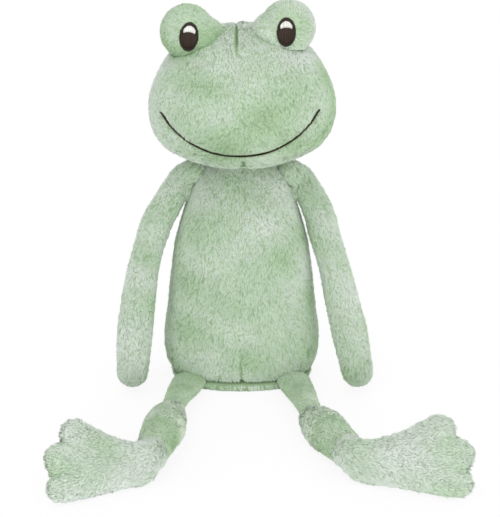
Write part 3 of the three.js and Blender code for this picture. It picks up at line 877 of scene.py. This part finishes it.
eye_middles = {}
mound_skins = {}
for name, side in both_sides:
    middle = mound_middles[name]
    eye = middle + np.array((-side * eye_inward, 0, -eye_drop))
    eye_middles[name] = eye
    balls = [form_at(round_ball(spot, 1, half_size), head_place) for spot, half_size in mound_forms(name)]
    mound = one_skin(f"eye_mound_{name}_skin", balls, grain=1.2, passes=6)
    sunk(mound, depth=1.1)

    def mound_flow(roots, facing):
        """Outward from the stitched eye."""
        local = placed(roots, to_head)
        way = local - eye
        way[:, 1] = 6
        way[:, 2] -= 5
        return turned(unit(way), head_place)

    def beside_eye(roots):
        """How far outside the stitched eye a root lies."""
        local = placed(roots, to_head)
        oval = np.hypot((local[:, 0] - eye[0]) / (eye_width / 2), (local[:, 2] - eye[2]) / (eye_height / 2))
        gap = (oval - 1) * 7
        gap[local[:, 1] > middle[1]] = far
        return gap

    def part_mound(roots):
        local = placed(roots, to_head)
        away = local - eye
        away[:, 1] = 0
        return np.maximum(beside_eye(roots), 0) * 0.8, turned(unit(away), head_place)

    def mound_tone(roots):
        # Darker toward the mound's foot: painted shade in the crease where it meets the head.
        crease = np.exp(-np.maximum((placed(roots, to_head)[:, 2] - 27) / 6, 0))
        return mound_paleness[name] - 0.3 * crease + 0.2 * ripples(roots, 14, 47)

    grow_pile(f"eye_mound_{name}_pile", mound, "head", pile_paint, mound_flow,
              length=2.0, tone=mound_tone, part=part_mound,
              keep=lambda roots, facing: ~in_head(placed(roots, to_head), -1.5) & (beside_eye(roots) > -0.5),
              lock_shade=0.5)
    mound_skins[name] = mound

# The stitched eyes: satin stitch on each mound. An outline of dark thread runs round, a pale
# field lies above and a brown one below, each of side by side threads that shine a little.
def thread_finish(name, colour):
    """Twisted embroidery thread."""
    material, shader, begin = new_material(name)
    place = begin.node("ShaderNodeTexCoord", output=3)
    tone = begin.node("ShaderNodeAttribute", {"attribute_name": "tone"}, output=2)
    fleck = begin.node("ShaderNodeTexNoise", Vector=place, Scale=2600.0, Detail=2.0)
    dark = tuple(c * 0.62 for c in colour[:3]) + (1.0,)
    light = tuple(min(1, c * 1.35) for c in colour[:3]) + (1.0,)
    bump = begin.node("ShaderNodeBump", Height=fleck, Strength=0.4, Distance=0.0001)
    feed(shader, Base_Color=(tone * 0.7 + fleck * 0.3).blend(dark, light), Normal=bump,
         Roughness=0.6, Specular_IOR_Level=0.3)
    return material


def stitches(name, starts, ends, ups, thick, rise, material, body, slot, *nodes):
    """Side by side threads. Each goes down into the cloth at both ends and bows up between them."""
    count, rings, sides = len(starts), 7, 6
    share = np.linspace(0, 1, rings)
    line = starts[:, None] * (1 - share)[None, :, None] + ends[:, None] * share[None, :, None]
    bow = np.sin(share * math.pi) ** 0.5 * (rise + 0.5) - 0.5
    line = line + ups[:, None] * bow[None, :, None]
    ahead = unit(ends - starts)
    across = unit(np.cross(ups, ahead))
    angle = np.arange(sides) / sides * 2 * math.pi
    radius = thick / 2 * random.uniform(0.9, 1.1, count)
    around = across[:, None] * np.cos(angle)[None, :, None] + ups[:, None] * np.sin(angle)[None, :, None]
    tube = line[:, :, None] + around[:, None] * radius[:, None, None, None]
    points = np.concatenate([line[:, :1], tube.reshape(count, -1, 3), line[:, -1:]], 1)
    per = points.shape[1]
    faces = tube_faces(rings, sides)
    every = [tuple(first * per + corner for corner in face) for first in range(count) for face in faces]
    made = mesh_object(name, points.reshape(-1, 3), every)
    mark(made.data, "tone", np.repeat(random.uniform(0.2, 1, count), per))
    fit_for_show(made, material, body, slot, *nodes)


def surface_of(made):
    return BVHTree.FromObject(made, bpy.context.evaluated_depsgraph_get())


def on_surface(surface, flat):
    """Places on a skin straight behind the points (x, z) of the face, and the way the skin faces there."""
    inward = Vector(turned((0, 1, 0), head_place))
    places, ups = [], []
    for x, z in flat:
        start = Vector(placed((x, -90, z), head_place))
        place, up, _, _ = surface.ray_cast(start, inward)
        places.append(place)
        ups.append(up)
    return np.array(places), np.array(ups)


dark_thread = thread_finish("dark brown thread", linear(42, 32, 26))
brown_thread = thread_finish("brown thread", linear(52, 38, 30))
pale_thread = thread_finish("pale thread", linear(226, 226, 219))
thread_width, thread_step = 0.42, 0.34
eye_tilt = {"left": math.radians(1), "right": math.radians(7)}
outline_inset, outline_slant, outline_lift, outline_bow = 0.35, 0.25, 0.35, 0.75
outline_width, outline_swelling, outline_low_width = 2.3, 0.4, 1.8
field_side_gap, field_less_wide, field_less_high, white_top_gap = 1.7, 2.6, 3.4, 0.4
pupil_drop, pupil_less_wide, pupil_less_high = 2.2, 1.2, 7.2
white_half_width = 3.3
field_overlap, shortest_stitch, field_lift, field_bow = 0.2, 0.8, 0.3, 0.55


def oval_edge(middle, width, height, across):
    """Lowest and highest point of an upright oval at this distance across from its middle."""
    share = np.sqrt(np.maximum(0, 1 - (across / (width / 2)) ** 2))
    return middle[2] - share * height / 2, middle[2] + share * height / 2


def leaning(name, flat):
    """Points (x, z) of an upright eye, turned about its middle to the eye's own lean."""
    middle = eye_middles[name][[0, 2]]
    x, z = (flat - middle).T
    sine, cosine = math.sin(eye_tilt[name]), math.cos(eye_tilt[name])
    return middle + np.stack([x * cosine + z * sine, z * cosine - x * sine], 1)


for name, side in both_sides:
    surface = surface_of(mound_skins[name])
    eye = eye_middles[name]
    steps = round(math.pi * (eye_width + eye_height) / 2 / thread_step)
    angle = np.arange(steps) / steps * 2 * math.pi
    ring = np.stack([np.cos(angle), np.sin(angle)], 1)
    thick = np.where(ring[:, 1:] > 0, outline_width + outline_swelling * ring[:, 1:] ** 2, outline_low_width)
    ragged = random.normal(0, 0.1, (steps, 1))
    half = np.array((eye_width / 2, eye_height / 2))
    slant = np.stack([-ring[:, 1], ring[:, 0]], 1) * outline_slant
    outer = leaning(name, eye[[0, 2]] + ring * (half - outline_inset + ragged) - slant)
    inner = leaning(name, eye[[0, 2]] + ring * (half - thick) + slant)
    starts, ups = on_surface(surface, outer)
    ends, _ = on_surface(surface, inner)
    stitches(f"eye_outline_{name}_threads", starts + ups * outline_lift, ends + ups * outline_lift, ups,
             thread_width, outline_bow, dark_thread, "head", "thread_brown", f"eye_outline_{name}")
    across = np.arange(-eye_width / 2 + field_side_gap, eye_width / 2 - field_side_gap, thread_step)
    pupil = eye + np.array((0, 0, -pupil_drop))
    low, high = oval_edge(eye, eye_width - field_less_wide, eye_height - field_less_high, across)
    high = high - white_top_gap
    _, pupil_high = oval_edge(pupil, eye_width - pupil_less_wide, eye_height - pupil_less_high, across)
    pupil_high = np.minimum(pupil_high, high)
    columns = eye[0] + across
    for field, bottom, top, thread, node in (
        ("pupil", low, pupil_high, brown_thread, "thread_brown"),
        ("white", pupil_high, high, pale_thread, "thread_white"),
    ):
        starts, ups = on_surface(surface, leaning(name, np.stack([columns, bottom - field_overlap], 1)))
        ends, _ = on_surface(surface, leaning(name, np.stack([columns, top + field_overlap], 1)))
        reach = np.linalg.norm(ends - starts, axis=1)
        long = reach > shortest_stitch
        if field == "white":
            long &= np.abs(across) < white_half_width
        bulge = (reach ** 2 / 8 / mound_size[2])[long].mean()
        stitches(f"eye_{field}_{name}_threads", (starts + ups * field_lift)[long],
                 (ends + ups * field_lift)[long], ups[long], thread_width, field_bow + bulge,
                 thread, "head", node, f"eye_{field}_{name}")

for name, mound in mound_skins.items():
    fit_for_show(mound, skin_paint, "head", "pile_green", f"eye_mound_{name}", f"eye_mound_filling_{name}")

# The mouth: one line of dark satin stitch round the front of the head, wider at its two ends.
# It draws the plush in, so that the pile parts along it.
mouth_line_half, mouth_end_more, mouth_slant, mouth_lift, mouth_bow = 0.2, 0.36, 0.22, 0.5, 0.7
surface = surface_of(head_skin)
places, ups = on_surface(surface, mouth_flat)
ahead = unit(np.gradient(places, axis=0))
across = unit(np.cross(ups, ahead))
share = np.abs(np.linspace(-1, 1, len(places)))[:, None]
half = mouth_line_half + mouth_end_more * share ** 2
slant = ahead * mouth_slant
stitches("mouth_threads", places - across * half - slant + ups * mouth_lift,
         places + across * half + slant + ups * mouth_lift, ups, thread_width, mouth_bow, brown_thread,
         "head", "thread_brown", "mouth_stitching")
fit_for_show(head_skin, skin_paint, "head", "pile_green", "head_skin", "head_filling")

# The arms: two long stuffed tubes of plush with round ends, sewn on at the shoulders, that hang
# a little forward, each with a small collar where its plush is gathered over the shoulder seam.
# Their pile lies toward the hand.
shoulder_side, shoulder_rise = 37, 123.5
arm_drop, arm_thickness = 111, 22.4
arm_routes = {
    "left": [(0, 0, 0), (0.068, 0.047, 0.122), (0.103, 0.081, 0.2), (0.128, 0.119, 0.295),
             (0.182, 0.184, 0.462), (0.223, 0.25, 0.631), (0.265, 0.316, 0.798), (0.308, 0.393, 1)],
    "right": [(0, 0, 0), (0.071, 0.047, 0.122), (0.119, 0.081, 0.2), (0.16, 0.114, 0.296),
              (0.209, 0.183, 0.463), (0.237, 0.249, 0.632), (0.256, 0.316, 0.798), (0.269, 0.393, 1)],
}
arm_shares = [
    (0, 0.69), (0.07, 0.78), (0.14, 0.84), (0.22, 0.86), (0.3, 0.87), (0.43, 0.84), (0.61, 0.93),
    (0.8, 1), (1, 0.88),
]
collar_line = [(-1, 0, -2), (3, -1.5, 2), (7.5, -3, 5)]
collar_shares, collar_thickness = [(0, 1), (1, 0.95)], 15
collar_ball_inset, collar_ball_ahead, collar_ball_drop, collar_ball_radius = 4.5, 1.5, 9, 5.6
arm_paleness = {"left": 0.62, "right": 0.74}
limb_sides = 48
held_clearance = 0.4


def limb(route, shares, thickness):
    """Round sections along a route, with a dome at each end."""
    steps, dome_steps = 70, 12
    line = curve_through(route, steps)
    ahead = unit(np.gradient(line, axis=0))
    table = rows_between(shares, steps, 1)
    radius = table[:, 1] * thickness / 2
    side = unit(np.cross(ahead[0], (0.3, 0.2, 0.9)))
    angle = (np.arange(limb_sides) / limb_sides * 2 * math.pi)[:, None]
    frames = []
    for way in ahead:
        side = unit(side - way * (side @ way))
        frames.append((side, np.cross(way, side)))
    ring = lambda step, shift, reach: (line[step] + ahead[step] * shift + reach * (
        frames[step][0] * np.cos(angle) + frames[step][1] * np.sin(angle)))
    tilts = np.linspace(0, math.pi / 2, dome_steps)[1:-1]
    dome = [(radius[0] * math.sin(tilt), radius[0] * math.cos(tilt)) for tilt in tilts]
    rings = [ring(0, -shift, reach) for shift, reach in reversed(dome)]
    rings += [ring(step, 0, radius[step]) for step in range(steps)]
    rings += [ring(-1, shift * radius[-1] / radius[0], reach * radius[-1] / radius[0])
              for shift, reach in dome]
    return loft(line[0] - ahead[0] * radius[0], rings, line[-1] + ahead[-1] * radius[-1])


def along_route(route):
    """Gives, for points, the way of the nearest part of a route, its share of the length and its place."""
    line = curve_through(route, 60)
    ahead = unit(np.gradient(line, axis=0))
    tree = tree_of(line)

    def nearest(points):
        number = np.array([tree.find(spot)[1] for spot in points])
        return ahead[number], number / (len(line) - 1), line[number]
    return nearest


for name, side in both_sides:
    shoulder = np.array((side * shoulder_side, shoulder_rise * math.tan(body_lean), shoulder_rise))
    route = [shoulder + arm_drop * np.array((side * out, -forward, -down))
             for out, forward, down in arm_routes[name]]
    nearest = along_route(route)
    body = f"arm_{name}"
    arm = one_skin(body, [limb(route, arm_shares, arm_thickness)], grain=1.5)
    stuffed(arm, lambda points: np.abs((points - nearest(points)[2])[:, 1]) + held_clearance,
            swell=1.2, puckers=0.35)
    sunk(arm, depth=0.7)

    def arm_flow(roots, facing):
        return nearest(roots)[0]

    def arm_tone(roots):
        """Greener at the shoulder, and darker on the side toward the body: painted shade between arm and body.
        """
        _, share, middle = nearest(roots)
        inner = np.clip(-side * (roots - middle)[:, 0] / (arm_thickness / 2), 0, 1)
        top = 1 - smooth_step(0.05, 0.3, share)
        return arm_paleness[name] - 0.22 * inner - 0.2 * top + 0.14 * ripples(roots, 18, 53)

    grow_pile(f"{body}_pile", arm, body, pile_paint, arm_flow,
              length=2.9, tone=arm_tone, lock_shade=0.55)
    fit_for_show(arm, skin_paint, body, "pile_green", f"arm_skin_{name}", f"arm_filling_{name}")

    collar_route = [shoulder + (-side * inset, back, up) for inset, back, up in collar_line]
    collar_tube = limb(collar_route, collar_shares, collar_thickness)
    ball_middle = shoulder + (-side * collar_ball_inset, -collar_ball_ahead, -collar_ball_drop)
    body = f"shoulder_{name}"
    collar = one_skin(f"{body}_collar", [collar_tube, round_ball(ball_middle, collar_ball_radius)],
                      grain=1.1, passes=14)
    grow_pile(f"{body}_pile", collar, body, pile_paint, arm_flow, length=2.4, tone=0.42)
    fit_for_show(collar, skin_paint, body, "seam_green", f"shoulder_seam_{name}")

# The legs: a slim flat thigh, a thick shin with a fluffy band at the knee, and a foot, each
# stuffed by itself and sewn to the next. Thigh and shin have a short, darker pile.
hip_side, hip_forward, hip_rise = 31, 38, 9.9
thigh_length, thigh_thickness, thigh_tuck = 56, 17.6, 7
thigh_widening, thigh_aside, thigh_hip_aside, thigh_sag = 0.22, 1.4, 0.8, 0.3
thigh_flatness, thigh_hip_flatness = 0.78, 0.18
shin_length, shin_thickness = 58.5, 24
thigh_turn = {"left": 10, "right": 8.8}
thigh_raise = {"left": -1.3, "right": 2.35}
shin_turn = {"left": 18.8, "right": 9}
shin_raise = {"left": 3.93, "right": 0.37}
thigh_shares = [(0, 1.045), (0.3, 1), (0.7, 0.9), (1, 0.78)]
shin_shares = [(0, 0.68), (0.1, 0.8), (0.25, 0.95), (0.4, 1.03), (0.6, 0.96), (0.8, 0.87), (1, 0.8)]
knee_reach, knee_band_fade = {"left": 30, "right": 32}, 5
thigh_pile, shin_pile, knee_pile_more = 1.5, 2.1, 0.7
limb_paint = pile_finish("darker plush pile",
                         (160, 190, 149), (183, 212, 171), (200, 220, 193), (226, 238, 221))


def leg_place(middle, turn, rise):
    """The place of a piece of the leg that starts at middle, turned and raised by degrees."""
    turning = Matrix.Rotation(math.radians(turn), 4, "Z") @ Matrix.Rotation(math.radians(-rise), 4, "X")
    return Matrix.Translation(middle) @ turning


def flat_thigh(points, back, side):
    """A thigh holds little filling, least at the hip, where it lies flat and wide."""
    local = placed(points, back)
    empty = 1 - smooth_step(0, thigh_length * 0.8, -local[:, 1])
    local[:, 0] = local[:, 0] * (1 + thigh_widening * empty) + side * (thigh_aside + thigh_hip_aside * empty)
    low = (-thigh_thickness / 2 - thigh_sag) * empty
    local[:, 2] = low + (local[:, 2] - low) * (thigh_flatness - thigh_hip_flatness * empty)
    return placed(local, back.inverted())


ankles = {}
for name, side in both_sides:
    hip = (side * hip_side, -hip_forward, hip_rise)
    thigh_place = leg_place(hip, side * thigh_turn[name], thigh_raise[name])
    knee = placed((0, -thigh_length, 0), thigh_place)
    shin_place = leg_place(knee, side * shin_turn[name], shin_raise[name])
    ankles[name] = placed((0, -shin_length, 0), shin_place)
    for segment, place, start, length, shares, thickness in (
        ("thigh", thigh_place, thigh_tuck, thigh_length, thigh_shares, thigh_thickness),
        ("shin", shin_place, 0, shin_length, shin_shares, shin_thickness),
    ):
        route = placed([(0, start, 0), (0, -length / 2, 0), (0, -length, 0)], place)
        back = place.inverted()
        limb_points, limb_faces = limb(route, shares, thickness)
        if segment == "thigh":
            limb_points = flat_thigh(limb_points, back, side)
        body = f"{segment}_{name}"
        skin = one_skin(body, [(limb_points, limb_faces)], grain=1.3)
        stuffed(skin, lambda points: np.abs(placed(points, back)[:, 2]) + held_clearance,
                swell=1.2, puckers=0.5)
        sunk(skin, depth=0.6)

        def leg_flow(roots, facing):
            """Toward the foot, and outward on the domes at both ends."""
            local = placed(roots, back)
            local[:, 1] = 0
            return turned(unit(local) * 0.5 - (0, 1, 0), place)

        def knee_band(roots):
            """The shin's pile is pale and longer round the knee."""
            reach = -placed(roots, back)[:, 1]
            fade = smooth_step(knee_reach[name] - knee_band_fade, knee_reach[name], reach)
            return (1 - fade) * (segment == "shin")

        def leg_tone(roots):
            return 0.5 + 0.6 * knee_band(roots) + 0.1 * ripples(roots, 14, 59)

        def leg_length(roots):
            return (shin_pile if segment == "shin" else thigh_pile) + knee_pile_more * knee_band(roots)

        grow_pile(f"{body}_pile", skin, body, limb_paint, leg_flow,
                  length=leg_length, tone=leg_tone, lock_shade=0.4,
                  keep=lambda roots, facing: turned(facing, back)[:, 1] < 0.3)
        fit_for_show(skin, skin_paint, body, "limb_green",
                     f"{segment}_skin_{name}", f"{segment}_filling_{name}")

# The feet: two panels of a pale and longer pile, cut with three round toes and stuffed like a
# pillow, that stand on edge and face forward. A dent runs in from between the toes.
heel_radius = 10.6
foot_length = {"left": 79, "right": 71.5}
foot_turn = {"left": 21, "right": 27.5}
foot_raise = 15
foot_height, foot_thickness = 45, 17
sole_forward, heel_setback, heel_below = 8.45, 7, 15.2
foot_outline = [
    (0.02, 0.42), (0.04, 0.22), (0.1, 0.08), (0.2, 0), (0.34, 0), (0.5, 0), (0.66, 0), (0.82, 0),
    (0.93, 0.02), (0.985, 0.11), (1, 0.24), (0.972, 0.36), (0.985, 0.5), (0.985, 0.62), (0.945, 0.71),
    (0.86, 0.78), (0.835, 0.9), (0.77, 0.99), (0.67, 0.995), (0.59, 0.9), (0.5, 0.79), (0.39, 0.68),
    (0.26, 0.59), (0.12, 0.56), (0.04, 0.52),
]
foot_puff = [(0, 0.9), (0.3, 0.86), (0.55, 0.82), (0.8, 1), (1, 0.95)]
foot_middle_shares = (0.55, 0.42)
toe_dents = [[(0.99, 0.37), (0.78, 0.38)], [(0.87, 0.8), (0.7, 0.6)]]
dent_width, dent_sink = 2.2, 1.5
foot_backing = skin_finish("long plush backing", linear(201, 219, 194))


def foot_pillow(side, length):
    """Two panels of one outline, blown apart between their shared edge."""
    flat = curve_through(foot_outline, 150, closed=True) * (length, foot_height)
    foot_middle = np.array(foot_middle_shares) * (length, foot_height)
    puff = rows_between(foot_puff, 40)
    rings = []
    shares = np.sin(np.linspace(0.12, 1, 14) * math.pi / 2)
    for front in (-1, 1):
        for share in (shares if front < 0 else shares[-2::-1]):
            spot = foot_middle + (flat - foot_middle) * share
            high = foot_thickness / 2 * math.sqrt(max(0, 1 - share ** 2.2))
            high = high * np.interp(spot[:, 0] / length, puff[:, 0], puff[:, 1])
            x = side * (spot[:, 0] - heel_setback)
            rings.append(np.stack([x, -(sole_forward + front * high), spot[:, 1] - heel_below], 1))
    pole = lambda front: (side * (foot_middle[0] - heel_setback),
                          -(sole_forward + front * foot_thickness / 2), foot_middle[1] - heel_below)
    return loft(pole(-1), rings, pole(1))


for name, side in both_sides:
    place = leg_place(ankles[name], -side * foot_turn[name], foot_raise)
    back = place.inverted()
    length = foot_length[name]
    body = f"foot_{name}"
    forms = [form_at(form, place)
             for form in (foot_pillow(side, length), round_ball((0, 0, 0), heel_radius))]
    foot = one_skin(body, forms, grain=1.4, passes=8)
    stuffed(foot, lambda points: np.abs(placed(points, back)[:, 1] + sole_forward) + held_clearance,
            swell=1.4, puckers=0.5)
    sunk(foot, depth=1.5)

    def foot_flat(points):
        """Place on the foot's panel: along it from the heel, and up."""
        local = placed(points, back)
        return np.stack([side * local[:, 0] + heel_setback, local[:, 2] + heel_below], 1)

    def dent_depth(points):
        """How deep in a dent between the toes a point lies, from 0 to 1."""
        flat = foot_flat(points)
        depth = np.zeros(len(points))
        for line in toe_dents:
            ends = np.array(line) * (length, foot_height)
            step = ends[1] - ends[0]
            share = np.clip((flat - ends[0]) @ step / (step @ step), 0, 1)
            gap = np.linalg.norm(flat - ends[0] - share[:, None] * step, axis=1)
            depth = np.maximum(depth, near(gap, dent_width) * (1 - 0.7 * share))
        return depth

    foot_points = points_of(foot)
    move_points(foot, foot_points - normals_of(foot) * (dent_sink * dent_depth(foot_points))[:, None])

    def foot_flow(roots, facing):
        """From the heel toward the toes, fanning out."""
        flat = foot_flat(roots) - (-14, 0.4 * foot_height)
        local = np.stack([side * flat[:, 0], np.zeros(len(flat)), flat[:, 1] * 1.3], 1)
        return turned(unit(local), place)

    def foot_tone(roots):
        """Greener at the toes, and darker in the dents between them: painted shade in the dents."""
        toes = smooth_step(0.55, 0.95, foot_flat(roots)[:, 0] / length)
        return 0.84 - 0.3 * dent_depth(roots) - 0.24 * toes + 0.16 * ripples(roots, 18, 61)

    grow_pile(f"{body}_pile", foot, body, pile_paint, foot_flow,
              length=3.2, tone=foot_tone, lean=(1.15, 1.38), lock_shade=0.2)
    fit_for_show(foot, foot_backing, body, "limb_green", f"foot_skin_{name}", f"foot_filling_{name}")

# The seam patches: where the head and the legs are sewn on, the plush is gathered into a round
# puckered patch inside the joint, with the knitted back outward.
patch_steps, patch_facet_share = 9, 0.975
patch_lift, patch_thickness, patch_top = 0.25, 0.7, 0.95
pucker_height, pucker_count = 0.22, 18
neck_patch_angle, hip_patch_angle = math.radians(34), math.radians(28)
hip_ball_radius, hip_patch_side = 9.2, 0.4


def seam_patch(name, middle, way, ball_radius, half_angle, body):
    """A puckered cap of cloth over a ball, centred on a way out of its middle."""
    inner = (ball_radius + seam_gap) / patch_facet_share
    side = unit(np.cross(way, (0.1, 0.9, 0.3)))
    other = np.cross(way, side)
    turn = np.linspace(0, 2 * math.pi, 72, endpoint=False)
    rings = []
    for layer in (0, 1):
        tilts = np.linspace(0, half_angle, patch_steps)[1:]
        for tilt in (tilts if layer == 0 else tilts[::-1]):
            pucker = pucker_height * np.sin(turn * pucker_count) * (tilt / half_angle) ** 2
            radius = (inner + patch_lift + layer * patch_thickness + pucker)[:, None]
            around = side * np.cos(turn)[:, None] + other * np.sin(turn)[:, None]
            rings.append(middle + radius * (way * math.cos(tilt) + math.sin(tilt) * around))
    points, faces = loft(middle + way * (inner + patch_lift), rings, middle + way * (inner + patch_top))
    fit_for_show(mesh_object(f"{name}_patch", points, faces), skin_paint, body, "seam_green", name)


up = np.array((0.0, 0.0, 1.0))
seam_patch("neck_seam", body_middle(neck_rise), up, neck_radius, neck_patch_angle, "neck")
for name, side in both_sides:
    hip = np.array((side * hip_side, -hip_forward, hip_rise))
    inward = unit(np.array((-side * hip_patch_side, 1.0, 0.0)))
    seam_patch(f"hip_seam_{name}", hip, inward, hip_ball_radius, hip_patch_angle, f"hip_{name}")

size = {"cad": [list(corner) for corner in cad_bounds], "visual": [list(corner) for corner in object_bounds()]}
